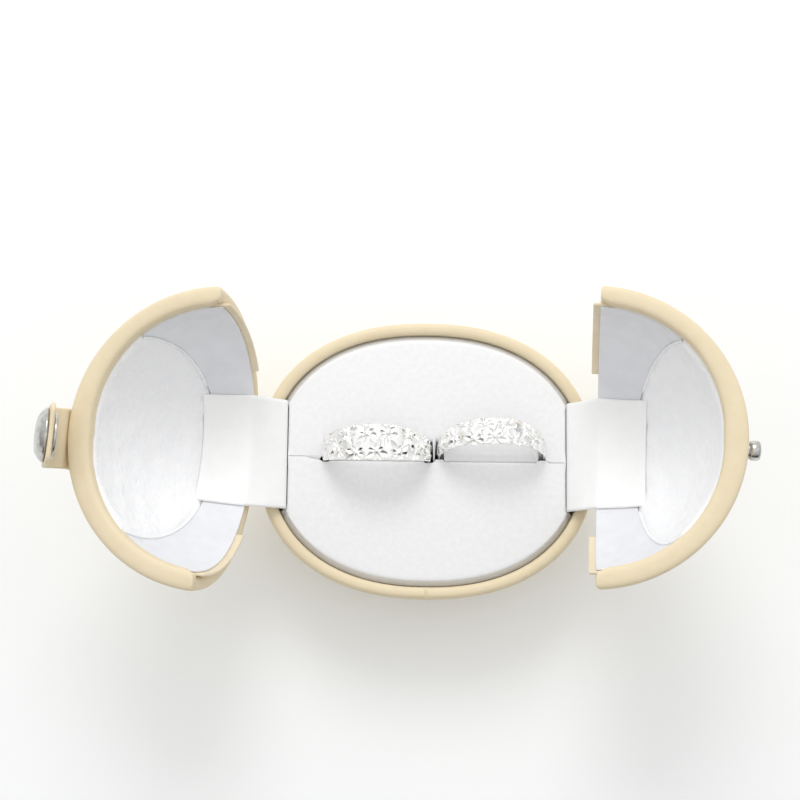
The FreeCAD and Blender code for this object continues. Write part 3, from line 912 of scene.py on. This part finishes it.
CROWN = AXIS_Z + HALF_WIDTH
DROOP = math.radians(27.0)
KNEE = np.array([1.9, 0, CROWN + 2.15])
ALONG = np.array([math.cos(DROOP), 0, -math.sin(DROOP)])
NORMAL = np.array([math.sin(DROOP), 0, math.cos(DROOP)])
STRAP_THICK = 0.8
STRAP_LENGTH = 9.8
STRAP_HALF_WIDTH = 5.2
STRAP_CORNER = 1.6
CAP_Y = -2.1
CAP_ALONG = 4.95
SOCKET_BACK = 1.55
STUD_X = 7.0
STUD_Y = -1.15
STUD_TOP = 2.6


def crown_height(x):
    return AXIS_Z + radius_at(x, 0.0)


def strap():
    """Leatherette strap: glued end on the left lid's crown, then free over a knee to its
    round-cornered tip."""
    line = [np.array([x, 0, crown_height(x) + 0.5]) for x in np.linspace(-9.0, -1.0, 16)]
    line += [np.array([-0.35, 0, CROWN + 0.62]), KNEE + NORMAL * 0.4]
    line += [KNEE + NORMAL * 0.4 + ALONG * s for s in np.linspace(0, STRAP_LENGTH, 20)[1:]]
    line = np.array(line)[:, None]
    line = resampled(softened(resampled(line, 120), 6), 84)[:, 0]
    run = np.concatenate([[0], np.cumsum(np.linalg.norm(np.diff(line, axis=0), axis=1))])
    from_tip = np.clip((run[-1] - run) / STRAP_CORNER, 0, 1)
    half = STRAP_HALF_WIDTH - STRAP_CORNER * (1 - np.sqrt(np.clip(1 - (1 - from_tip) ** 2, 0, 1)))
    share = eased(41)
    middle = np.interp(run / run[-1], [0.3, 0.6], [-1.6, CAP_Y])
    rows = np.repeat(line[:, None], len(share), 1)
    rows[:, :, 1] = middle[:, None] + half[:, None] * (2 * share - 1)[None]
    points, faces = rounded_strap(rows, STRAP_THICK)
    points = opened(points, -1)
    piece = add_mesh("strap", points, faces, LEATHERETTE)
    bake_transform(piece)
    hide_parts("snap_strap_anchor", "snap_strap")


def rounded_strap(rows, thickness):
    """A closed strip with softly rounded edges from a grid of points along its middle."""
    width = np.linalg.norm(rows - rows[:, :1], axis=-1)
    from_edge = np.minimum(width, width[:, -1:] - width)
    middle = rows[:, rows.shape[1] // 2]
    run = np.cumsum(np.linalg.norm(np.diff(middle, axis=0, prepend=middle[:1]), axis=1))
    from_end = np.minimum(run, run[-1] - run)[:, None] + 0 * from_edge
    t = np.clip(np.minimum(from_edge, from_end) / 0.35, 0, 1)
    return slab(rows, thickness / 2 * (0.25 + 0.75 * np.sqrt(1 - (1 - t) ** 2))[..., None])


def seated(points, seat):
    """Turned part on the strap's outer face at the seat, swung open with the left lid."""
    basis = np.stack([ALONG, [0, 1, 0], NORMAL])
    return opened(points @ basis + seat, -1)


def turned(name, profile, place, body, replaced):
    points, faces = lathe(profile)
    piece = add_mesh(name, place(points), faces, NICKEL)
    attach(piece, body)
    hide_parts(replaced)


def snap_cap(seat):
    """Hollow domed cap on the strap's outer face, a little sunk in the middle."""
    dome = [(0.0, 1.62), (0.5, 1.64), (1.0, 1.7), (1.6, 1.83), (2.2, 1.85), (2.9, 1.72), (3.5, 1.44)]
    dome += [(4.0, 1.08), (4.35, 0.7)]
    edge = arc((4.2, 0.36), (0.4, 0.34), 55, -70, 6)
    hollow = [(4.0, 0.02), (3.0, 0.02), (2.95, 0.3), (2.9, 1.25), (1.5, 1.4), (0.0, 1.35)]
    profile = dome + edge + hollow
    turned("snap_cap_dome", profile, lambda p: seated(p, seat), "strap", "snap_cap")


def snap_socket(seat):
    """Plain ring on the strap's inner face."""
    ring = [(2.8, 0.0)] + arc((3.6, 0.3), (0.3, 0.3), -90, 20, 4)
    ring += [(3.86, 0.75), (2.8, 0.75), (2.75, 0.6), (2.75, 0.1), (2.8, 0.0)]
    turned("snap_socket_ring", ring, lambda p: seated(p, seat), "strap", "snap_socket")


def snap_stud():
    """Stud on the right lid's crown: flange, waisted neck and rounded head."""
    base = crown_height(STUD_X) + 0.05
    top = CROWN + STUD_TOP - base
    flange = [(0, 0), (2.3, 0), (2.4, 0.1), (2.35, 0.3), (2.0, 0.38), (1.55, 0.5)]
    neck = [(1.4, 0.75), (1.38, top - 2.05), (1.55, top - 1.95)]
    head = [(1.7, top - 1.7), (1.73, top - 1.1), (1.7, top - 0.55), (1.5, top - 0.25), (1.0, top - 0.06)]
    profile = flange + neck + head + [(0.4, top), (0, top)]
    spot = np.array([STUD_X, STUD_Y, base])
    turned("snap_stud_turned", profile, lambda p: opened(p + spot, 1), "lid_right", "snap_stud")


def snap():
    seat = KNEE + ALONG * CAP_ALONG + NORMAL * STRAP_THICK + np.array([0, CAP_Y, 0])
    snap_cap(seat)
    snap_socket(seat - NORMAL * SOCKET_BACK)
    snap_stud()


# ---------------------------------------------------------------- what the CAD keeps

def finish_cad_nodes():
    kept = {"foot_pad": felt(), "base_shell": moulded_plastic(), "cushion_tray": tray_board()}
    kept["snap_stud_post"] = NICKEL
    for name, finish in kept.items():
        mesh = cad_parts[name].data
        mesh.materials.clear()
        mesh.materials.append(finish)


# ---------------------------------------------------------------- stage

def floor():
    mesh = bpy.data.meshes.new("floor")
    size = 3.0
    corners = [(-size, -size, 0), (size, -size, 0), (size, size, 0), (-size, size, 0)]
    mesh.from_pydata(corners, [], [(0, 1, 2, 3)])
    mesh.materials.append(floor_finish())
    piece = bpy.data.objects.new("floor", mesh)
    bpy.context.scene.collection.objects.link(piece)


def area_light(name, place, target, size, power):
    light = bpy.data.lights.new(name, "AREA")
    light.shape = "DISK"
    light.size = size
    light.energy = power
    lamp = bpy.data.objects.new(name, light)
    lamp.location = place
    lamp.rotation_mode = "QUATERNION"
    lamp.rotation_quaternion = (Vector(target) - Vector(place)).to_track_quat("-Z", "Y")
    bpy.context.scene.collection.objects.link(lamp)


def studio():
    """Soft light brightest from above and behind, with a darker front for the silver to mirror, and
    a plain pale backdrop."""
    world = bpy.data.worlds.new("studio")
    bpy.context.scene.world = world
    world.use_nodes = True
    nodes, links = world.node_tree.nodes, world.node_tree.links
    sky = nodes["Background"]
    sky.inputs["Strength"].default_value = 0.965
    place = nodes.new("ShaderNodeTexCoord")
    facing = nodes.new("ShaderNodeVectorMath")
    facing.operation = "DOT_PRODUCT"
    facing.inputs[1].default_value = (0.0, 0.5, 0.7)
    raised = nodes.new("ShaderNodeMath")
    raised.inputs[1].default_value = 0.3
    ramp = nodes.new("ShaderNodeValToRGB")
    shades = ramp.color_ramp.elements
    shades[0].position, shades[0].color = 0.04, (0.03, 0.03, 0.03, 1)
    shades[1].position, shades[1].color = 1.0, (1.06, 1.06, 1.06, 1)
    middle = shades.new(0.34)
    middle.color = (0.6, 0.6, 0.6, 1)
    links.new(place.outputs["Generated"], facing.inputs[0])
    links.new(facing.outputs["Value"], raised.inputs[0])
    links.new(raised.outputs["Value"], ramp.inputs["Fac"])
    backdrop = nodes.new("ShaderNodeMath")
    backdrop.operation = "MAXIMUM"
    links.new(ramp.outputs["Color"], backdrop.inputs[0])
    links.new(nodes.new("ShaderNodeLightPath").outputs["Is Camera Ray"], backdrop.inputs[1])
    links.new(backdrop.outputs["Value"], sky.inputs["Color"])
    area_light("key_back", (-0.05, 0.45, 0.5), (0, 0, 0.02), 0.3, 1.15)


def camera():
    """Camera nearly straight above the box, a touch turned and to the front."""
    pitch, lean, roll = 0.125, -0.011, 0.011
    level = math.cos(pitch)
    back = Vector((math.sin(lean) * level, -math.sin(pitch), level * math.cos(lean))).normalized()
    right = Vector((0, 1, 0)).cross(back).normalized()
    up = back.cross(right)
    turned_right = right * math.cos(roll) + up * math.sin(roll)
    turned_up = up * math.cos(roll) - right * math.sin(roll)
    data = bpy.data.cameras.new("camera")
    data.lens = 74.58
    data.sensor_width = 36
    data.clip_start, data.clip_end = 0.01, 10
    made = bpy.data.objects.new("camera", data)
    bpy.context.scene.collection.objects.link(made)
    axes = Matrix((turned_right, turned_up, back)).transposed().to_4x4()
    place = Vector((-8.56, -27.56, 329.84)) * MM
    made.matrix_world = Matrix.Translation(place) @ axes
    bpy.context.scene.camera = made


camera()
base_skin()
for side in (-1, 1):
    lid_case(side)
    lip(side, -1)
    lip(side, 1)
    side_lining(side)
    dome_pad(side)
    hinge_ribbon(side)
    hinge_tape(side)
pad_half(-1)
pad_half(1)
band("left")
band("right")
strap()
snap()
finish_cad_nodes()
floor()
studio()
bpy.context.scene.view_settings.view_transform = "Standard"
